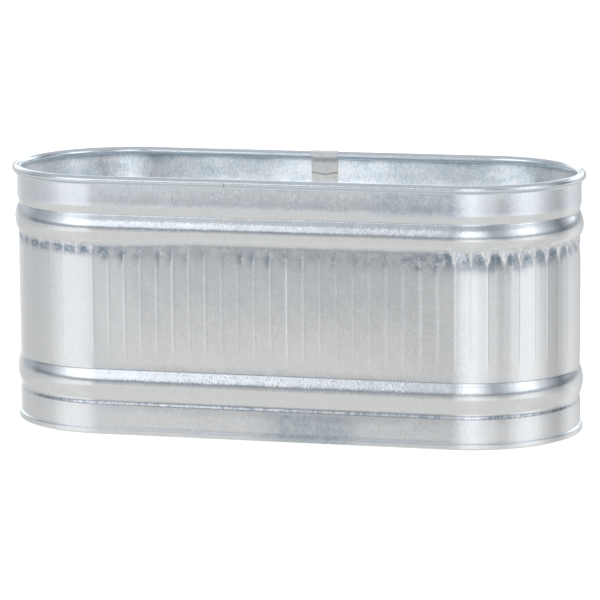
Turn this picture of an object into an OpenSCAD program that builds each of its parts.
// Round-end galvanised trough: rolled sheet wall, tube rim, double-seamed floor, drain plug.
// Origin: centre of the tank's plan, on the ground. X runs along the tank, +Z is up.
// The front is -Y; the side seam and the drain are on the +Y side.

/* [Tank body] */
// overall length over the tube rim
tank_l = 1240; // [1000:10:1600]
// overall width over the tube rim, the ends are half circles of this width
tank_w = 484; // [440:2:560]
// overall height from the ground to the top of the rim
tank_h = 549; // [500:1:640]
// sheet thickness of the wall and the floor
sheet_t = 1.0; // [0.8:0.1:1.1]

/* [Rim] */
// outside diameter of the rim tube
rim_d = 19; // [17:0.5:22]
// wall thickness of the rim tube
rim_tube_t = 1.2; // [0.8:0.1:1.5]
// gap between the two ends of the rim tube
rim_gap = 1.2; // [0.6:0.1:3]
// height of the plain band under the rim
top_band_h = 48; // [40:1:60]

/* [Beads] */
// height of the top bead
bead_h = 62; // [54:1:66]
// how far the top bead stands out of the plain band
top_bead_out = 5.2; // [3:0.1:7]
// how far the bottom bead stands out of the plain band
bottom_bead_out = 5.4; // [3:0.1:7]
// how far the wall steps in between the top band and the top bead
step_in = 3.9; // [2:0.1:5]

/* [Wall flutes] */
// distance from one flute to the next, with a narrow upright rib between neighbours
flute_pitch = 35.1; // [31:0.1:48]
// where the rib nearest the middle of the front sits
rib_x = 3.1; // [0:0.1:30]
// width of one rib
rib_w = 7; // [5:0.5:12]
// how far one rib stands out
rib_h = 0.6; // [0.4:0.1:1.2]

/* [Side seam] */
// where the lap seam sits along the back
seam_x = 8; // [-100:1:100]
// width of the lap
seam_w = 58; // [40:1:80]

/* [Floor] */
// distance from the rim's centre line in to the floor's stiffening bead
floor_bead_in = 62; // [50:1:80]
// height of the floor's stiffening bead
floor_bead_h = 4; // [2:0.5:6]

/* [Drain] */
// where the drain sits along the back
drain_x = -300; // [-330:1:-150]
// height of the drain's centre
drain_z = 38.5; // [38:0.5:39]
// screw radius of the plug
plug_r = 13.2; // [11:0.1:13.4]
// radial play between the plug and the coupling
plug_play = 0.05; // [0.02:0.01:0.1]
// length of the plug's screw
plug_screw_l = 14; // [10:0.5:15]
// width across flats of the plug's head
plug_flats = 30; // [26:1:32]

/* [Hidden] */
$fn = 96;
overlap = 0.01;
steel = [0.76, 0.78, 0.80];
steel_matt = [0.70, 0.69, 0.68];
steel_zinc = [0.66, 0.67, 0.66];
rubber = [0.10, 0.10, 0.11];
sealant = [0.55, 0.56, 0.56];
black_plastic = [0.07, 0.07, 0.075];

// The datum line is the rim's centre line in plan. A section point is [out, z],
// with out measured outward from the datum line.
path_r = (tank_w - rim_d) / 2;
path_s = (tank_l - tank_w) / 2;        // half length of the straight sides
rim_z = tank_h - rim_d / 2;
under_rim_z = tank_h - rim_d;

// heights of the wall section, from the ground up
wall_foot_z = 14;
low_band_z1 = 64;
low_bead_z0 = 76;
low_bead_z1 = 137;
flute_z0 = 160;
top_band_z0 = under_rim_z - top_band_h;
top_bead_z1 = top_band_z0 - 15;
top_bead_z0 = top_bead_z1 - bead_h;
flute_z1 = top_bead_z0 - 25;

// mid surfaces of the wall
band_out = -0.4;                       // lower plain band
flute_out = band_out - 1.5;            // flutes, between the ribs
bead_inset = 0.5;                      // taken off each bead's stand-out for its mid surface

// mid surfaces of the double seam: the wall's band lies between the first two
seam_step = sheet_t + 0.5;
seam_pan_in = band_out - seam_step;    // floor, inside the wall
seam_fold = band_out + seam_step;      // floor's edge, inside the wall's hook
seam_hook = band_out + 2 * seam_step;  // wall's hook
seam_pan_out = band_out + 3 * seam_step; // floor, outside the hook

// lap of the side seam
lap_x0 = seam_x - seam_w / 2;
lap_x1 = seam_x + seam_w / 2;
lap_gap = 0.2;                         // between the two leaves
leaf_step = sheet_t + lap_gap;
lap_slit = 0.4;                        // beside the outer leaf's free edge
joggle_l = 3;                          // from the free edge to the end of the joggle

// ---- section helpers

function unit(v) = v / norm(v);
function left_of(v) = [-v[1], v[0]];

// vertex i of an open path, offset to the left by d along the mitre
function mitre(path, i, d) =
    let (last = len(path) - 1,
         before = left_of(unit(i > 0 ? path[i] - path[i - 1] : path[1] - path[0])),
         after = left_of(unit(i < last ? path[i + 1] - path[i] : path[last] - path[last - 1])),
         bisector = unit(before + after))
    path[i] + bisector * d / (bisector * before);

// path moved to its left by d, which is inward for an upward path
function shifted(path, d) = [for (i = [0 : len(path) - 1]) mitre(path, i, d)];

// closed outline of a sheet of the given thickness along an open path
function sheet(path, thickness) = concat(
    shifted(path, thickness / 2),
    [for (i = [len(path) - 1 : -1 : 0]) mitre(path, i, -thickness / 2)]);

// parabola from start to end that reaches out to peak halfway
function bead_curve(start, end, peak, steps) =
    [for (i = [0 : steps])
        let (u = i / steps, rise = peak - (start[0] + end[0]) / 2)
        start + (end - start) * u + [rise * (1 - pow(2 * u - 1, 2)), 0]];

// half circle of the double seam about [out, z], in six turns
function seam_bend(out, z, start_angle, turn) =
    [for (i = [0 : 6])
        let (angle = start_angle + i * turn)
        [out + seam_step * cos(angle), z + seam_step * sin(angle)]];

// ---- sections, as lists of [out, z]

// from the lower plain band over the bottom bead
low_bead_path = concat(
    [[band_out, low_band_z1],
     [band_out - 1.4, low_band_z1 + 3],
     [band_out - 2.6, low_bead_z0 - 4]],
    bead_curve([band_out - 2.0, low_bead_z0], [band_out - 1.7, low_bead_z1],
               bottom_bead_out - bead_inset, 10),
    [[flute_out, low_bead_z1 + 5]]);

// from above the flutes over the top bead to the upper plain band
top_bead_path = concat(
    [[flute_out, flute_z1 + 4],
     [band_out - 2.2, top_bead_z0 - 9]],
    bead_curve([band_out - 2.8, top_bead_z0], [band_out - step_in - 0.2, top_bead_z1],
               top_bead_out - bead_inset, 12),
    [[band_out - 0.5, top_band_z0 - 1],
     [band_out - 0.2, top_band_z0 + 4],
     [0, top_band_z0 + 30]]);

// lower wall, from the double seam up to the start of the flutes
wall_low = concat(
    [[seam_hook, 9.5], [seam_hook, 5]],
    seam_bend(seam_fold, 3.2, 0, -30),
    [[band_out, wall_foot_z]],
    low_bead_path,
    [[flute_out, flute_z0]]);

// upper wall, from the flutes to the edge held in the rim tube
wall_top = concat([[flute_out, flute_z1]], top_bead_path, [[0, rim_z - 3.5]]);

// wall between the foot and the rim, at the lap
lap_path = concat(
    [[band_out, wall_foot_z + 1]], low_bead_path, top_bead_path, [[0, rim_z - 11.5]]);

// floor sheet: seam, countersink, flat, stiffening bead, flat
floor_z = 12.5;
floor_flat_out = -floor_bead_in - 58;
pan_path = concat(
    [[seam_fold, 4.2], [seam_fold, 10.6]],
    seam_bend(seam_hook, 10.8, 180, -30),
    [[seam_pan_out, 1.6],
     [seam_pan_out - 1.1, 0.5],
     [seam_pan_in + 1.1, 0.5],
     [seam_pan_in, 1.6],
     [seam_pan_in, floor_z - 3],
     [seam_pan_in - 3, floor_z],
     [-floor_bead_in, floor_z],
     [-floor_bead_in - 7, floor_z + floor_bead_h],
     [-floor_bead_in - 21, floor_z + floor_bead_h],
     [-floor_bead_in - 28, floor_z],
     [floor_flat_out, floor_z]]);

// ---- plan helpers

// carry a section along one straight side, from x0 to x1
module straight_side(x0, x1, back = true) {
    if (back)
        translate([x0, path_r, 0]) rotate([90, 0, 90]) linear_extrude(x1 - x0) children();
    else
        translate([x1, -path_r, 0]) rotate([90, 0, -90]) linear_extrude(x1 - x0) children();
}

// carry a section round the whole tank
module round_tank() {
    for (i = [0, 1]) {
        rotate([0, 0, 180 * i])
            translate([path_s, 0, 0])
                rotate([0, 0, -90])
                    rotate_extrude(angle = 180) translate([path_r, 0]) children();
        straight_side(-path_s, path_s, back = i == 0) children();
    }
}

// plan of the tank at the distance out from the datum line
module plan(out) {
    square([2 * path_s, 2 * (path_r + out)], center = true);
    for (side = [-1, 1])
        translate([side * path_s, 0]) circle(path_r + out, $fn = 180);
}

// place children at each rib, with +Y pointing outward;
// the ribs are spaced along the datum line from the middle of the front
half_turn = PI * path_r;
half_loop = 2 * path_s + half_turn;
rib_margin = rib_w / 2 + 2;            // from a rib's centre to the lap
rib_first = ceil((-half_loop - lap_x0 + rib_margin - rib_x) / flute_pitch);
rib_last = floor((half_loop - lap_x1 - joggle_l - rib_margin - rib_x) / flute_pitch);
module at_ribs() {
    for (i = [rib_first : rib_last]) {
        run = rib_x + i * flute_pitch;
        distance = abs(run);
        side = run < 0 ? -1 : 1;
        if (distance <= path_s)
            translate([run, -path_r]) rotate(180) children();
        else if (distance < path_s + half_turn)
            translate([side * path_s, 0])
                rotate(180 + side * (distance - path_s) / path_r * 180 / PI)
                    translate([0, path_r]) children();
        else
            translate([side * (half_loop - distance), path_r]) children();
    }
}

// ---- side wall

// arc of a rib's outer face, from its width and height
rib_r = (rib_w * rib_w / 4 + rib_h * rib_h) / (2 * rib_h);
rib_centre_out = flute_out + sheet_t / 2 + rib_h - rib_r;
flute_margin = 0.02;                   // added to each face of the fluted sheet
flute_lap = 1;                         // overlap with the wall below and above
cut_y = path_r - 12;                   // start of the cuts through the back wall
drain_hole_r = 16.9;

// plan with its edge at the distance out and a circle of the given radius at each rib
module ribbed_plan(out, radius) {
    plan(out);
    at_ribs() translate([0, rib_centre_out]) circle(radius, $fn = 48);
}

module fluted_wall() {
    translate([0, 0, flute_z0 - flute_lap])
        linear_extrude(flute_z1 - flute_z0 + 2 * flute_lap)
            difference() {
                ribbed_plan(flute_out + sheet_t / 2 + flute_margin, rib_r);
                ribbed_plan(flute_out - sheet_t / 2 - flute_margin, rib_r - sheet_t);
            }
}

// sheet that follows the wall at the lap, its mid surface moved inward by inset
module lap_sheet(x0, x1, inset, thickness) {
    straight_side(x0, x1) polygon(sheet(shifted(lap_path, inset), thickness));
}

// one rolled sheet: foot hook, plain band, bottom bead, flutes, top bead, plain band
module side_wall() {
    color(steel) {
        difference() {
            union() {
                round_tank() polygon(sheet(wall_low, sheet_t));
                fluted_wall();
                round_tank() polygon(sheet(wall_top, sheet_t));
            }
            // free edge of the outer leaf of the lap
            translate([lap_x1, cut_y, wall_foot_z]) cube([lap_slit, 30, tank_h]);
            // drain hole
            translate([drain_x, cut_y, drain_z])
                rotate([-90, 0, 0]) cylinder(r = drain_hole_r, h = 24);
        }
        // inner leaf of the lap, and the joggle that carries it to the outer face
        lap_sheet(lap_x0, lap_x1 + joggle_l, leaf_step, sheet_t);
        lap_sheet(lap_x1 + lap_slit, lap_x1 + joggle_l, leaf_step / 2, leaf_step);
    }
}

// film of sealant between the two leaves of the lap
module side_seam_sealant() {
    color(sealant) lap_sheet(lap_x0 + 1, lap_x1 - 0.5, leaf_step / 2, lap_gap - 0.04);
}

// ---- floor

cross_rib_pitch = 150;
cross_rib_l = 140;
cross_rib_r = 15;
cross_rib_drop = 12;                   // from the floor down to the rib's axis

// pressed rib across the floor: the part of a lying cylinder above the floor's underside
module cross_rib() {
    intersection() {
        rotate([90, 0, 0])
            translate([0, -cross_rib_drop, -cross_rib_l / 2])
                cylinder(r = cross_rib_r, h = cross_rib_l, $fn = 64);
        translate([-30, -80, -sheet_t / 2]) cube([60, 160, 8]);
    }
}

// floor sheet with its half of the double seam
module bottom_pan() {
    color(steel) {
        round_tank() polygon(sheet(pan_path, sheet_t));
        translate([0, 0, floor_z - sheet_t / 2]) linear_extrude(sheet_t) plan(floor_flat_out);
        for (i = [-2 : 2])
            translate([i * cross_rib_pitch, 0, floor_z]) cross_rib();
    }
}

// sealant that fills the double seam, clear of the wall and of the floor's edge
module floor_seam_sealant() {
    clear = 0.05;
    inner_face = seam_pan_in + sheet_t / 2 + clear;
    outer_face = seam_pan_out - sheet_t / 2 - clear;
    color(sealant)
        round_tank() difference() {
            polygon([[inner_face, 1.9],
                     [seam_pan_in + 1.3, 1.1],
                     [seam_pan_out - 1.3, 1.1],
                     [outer_face, 1.9],
                     [outer_face, 10.8],
                     [seam_hook + 0.4, 11.6],
                     [seam_hook - 0.5, 11.6],
                     [seam_fold + sheet_t / 2, 10.8],
                     [seam_fold - sheet_t / 2 - clear, 10.8],
                     [inner_face, 10.8]]);
            polygon(sheet(wall_low, sheet_t + 2 * clear));
            polygon(sheet([[seam_fold, 4.1], [seam_fold, 10.6], [seam_fold, 14]],
                          sheet_t + 2 * clear));
        }
}

// ---- rim

rim_slit_w = 1.8;                      // slit under the tube, for the wall's edge
rim_joint_x = seam_x - 14;
sleeve_reach = 40;                     // to each side of the joint
sleeve_play = 0.05;
sleeve_t = 1.15;
strap_t = 0.7;
strap_play = 0.03;

// section of a tube with a slit along its underside
module slit_ring(outer_r, inner_r) {
    translate([0, rim_z]) difference() {
        circle(outer_r);
        circle(inner_r);
        translate([-rim_slit_w / 2, -rim_d]) square([rim_slit_w, rim_d]);
    }
}

// open-seam tube pushed over the top edge of the wall
module rim_tube() {
    color(steel) difference() {
        round_tank() slit_ring(rim_d / 2, rim_d / 2 - rim_tube_t);
        // butt joint at the back
        translate([rim_joint_x - rim_gap / 2, path_r - rim_d, rim_z - rim_d])
            cube([rim_gap, 2 * rim_d, 2 * rim_d]);
    }
}

// short sleeve that joins the ends of the rim tube from inside
module rim_joint_sleeve() {
    sleeve_r = rim_d / 2 - rim_tube_t - sleeve_play;
    color(steel_zinc)
        straight_side(rim_joint_x - sleeve_reach, rim_joint_x + sleeve_reach)
            slit_ring(sleeve_r, sleeve_r - sleeve_t);
}

// matt strap folded over the joint of the rim tube, with a flap down the inside
module rim_joint_strap() {
    strap_r = rim_d / 2 + strap_play;
    flap_face = -leaf_step - sheet_t / 2 - 0.05; // just inside the lap's inner leaf
    flap_back = flap_face - strap_t;
    mouth_in = flap_face - 0.4;
    mouth_out = rim_d / 2 - 4.9;
    mouth_drop = 6.2;                  // from the rim's centre down to the mouth
    color(steel_matt) straight_side(lap_x0, lap_x1) {
        translate([0, rim_z]) difference() {
            circle(strap_r + strap_t);
            circle(strap_r);
            // mouth of the strap, below the tube
            translate([mouth_in, -2 * rim_d])
                square([mouth_out - mouth_in, 2 * rim_d - mouth_drop]);
        }
        polygon([[flap_back - 0.6, under_rim_z - 29],
                 [flap_face - 0.6, under_rim_z - 29],
                 [flap_face - 0.05, under_rim_z - 17],
                 [flap_face, under_rim_z - 0.2],
                 [flap_back - 1.5, under_rim_z + 0.1],
                 [flap_back - 1.5, under_rim_z - 0.6],
                 [flap_back, under_rim_z - 2.0],
                 [flap_back - 0.05, under_rim_z - 17]]);
    }
}

// ---- drain, on an axis along Y through the back wall

gasket_t = 2;
flange_t = 3;
flange_r = 22;                         // also the gaskets and the backing washer
flange_flats = 40;
backing_t = 1.5;
nut_t = 7;
nut_flats = 41;
shank_r = 16.4;
shank_past_nut = 2;
plug_gasket_t = 1.5;
plug_gasket_r = 18.5;
plug_gasket_gap = 0.02;                // on each side of the plug's gasket
plug_flange_r = 19;
plug_flange_t = 2;
plug_hex_t = 6;
plug_wall_t = 3;

// stations along Y, each the inner end of its part
wall_out_y = path_r + band_out + sheet_t / 2;
flange_y = wall_out_y + gasket_t;
plug_gasket_y = flange_y + flange_t + plug_gasket_gap;
plug_flange_y = plug_gasket_y + plug_gasket_t + plug_gasket_gap;
wall_in_y = wall_out_y - sheet_t;
inner_gasket_y = wall_in_y - gasket_t;
backing_y = inner_gasket_y - backing_t;
nut_y = backing_y - nut_t;
shank_y = nut_y - shank_past_nut;

// children stand on the drain's axis at y, their +Z pointing out of the tank
module on_drain(y) {
    translate([drain_x, y, drain_z]) rotate([-90, 0, 0]) children();
}

module washer(outer_r, inner_r, thickness) {
    difference() {
        cylinder(r = outer_r, h = thickness);
        translate([0, 0, -1]) cylinder(r = inner_r, h = thickness + 2);
    }
}

module hexagon(flats, thickness) {
    cylinder(r = flats / 2 / cos(30), h = thickness, $fn = 6);
}

// rubber ring between the coupling's flange and the wall
module drain_outer_gasket() {
    color(rubber) on_drain(wall_out_y) washer(flange_r, shank_r + 0.2, gasket_t);
}

// coupling: flange with two flats outside, shank through the wall
module drain_coupling() {
    color(steel_zinc) difference() {
        union() {
            on_drain(flange_y) intersection() {
                cylinder(r = flange_r, h = flange_t);
                translate([-flange_flats / 2, -30, -1]) cube([flange_flats, 60, flange_t + 2]);
            }
            on_drain(shank_y) cylinder(r = shank_r, h = flange_y - shank_y + overlap);
        }
        on_drain(wall_in_y - 30) cylinder(r = plug_r + plug_play, h = 60);
    }
}

// rubber ring inside the tank
module drain_inner_gasket() {
    color(rubber) on_drain(inner_gasket_y) washer(flange_r, shank_r + 0.2, gasket_t);
}

// steel washer between the inner gasket and the lock nut
module drain_backing_washer() {
    color(steel_zinc) on_drain(backing_y) washer(flange_r, shank_r + 0.3, backing_t);
}

// lock nut inside the tank
module drain_lock_nut() {
    color(steel_zinc) on_drain(nut_y) difference() {
        hexagon(nut_flats, nut_t);
        translate([0, 0, -1]) cylinder(r = shank_r + 0.05, h = nut_t + 2);
    }
}

// rubber ring under the plug's head, slides out with the plug
module drain_plug_gasket() {
    color(rubber) on_drain(plug_gasket_y)
        washer(plug_gasket_r, plug_r + plug_play, plug_gasket_t);
}

// screw plug with a flanged hexagon head
module drain_plug() {
    color(black_plastic) difference() {
        union() {
            on_drain(plug_flange_y - plug_screw_l)
                cylinder(r = plug_r, h = plug_screw_l + overlap);
            on_drain(plug_flange_y) cylinder(r = plug_flange_r, h = plug_flange_t);
            on_drain(plug_flange_y + plug_flange_t - overlap) hexagon(plug_flats, plug_hex_t);
        }
        // moulded hollow, open to the inside of the tank
        on_drain(flange_y + flange_t - plug_screw_l)
            cylinder(r = plug_r - plug_wall_t, h = plug_screw_l + 3);
    }
}

side_wall();
side_seam_sealant();
bottom_pan();
floor_seam_sealant();
rim_tube();
rim_joint_sleeve();
rim_joint_strap();
drain_outer_gasket();
drain_coupling();
drain_inner_gasket();
drain_backing_washer();
drain_lock_nut();
drain_plug_gasket();
drain_plug();
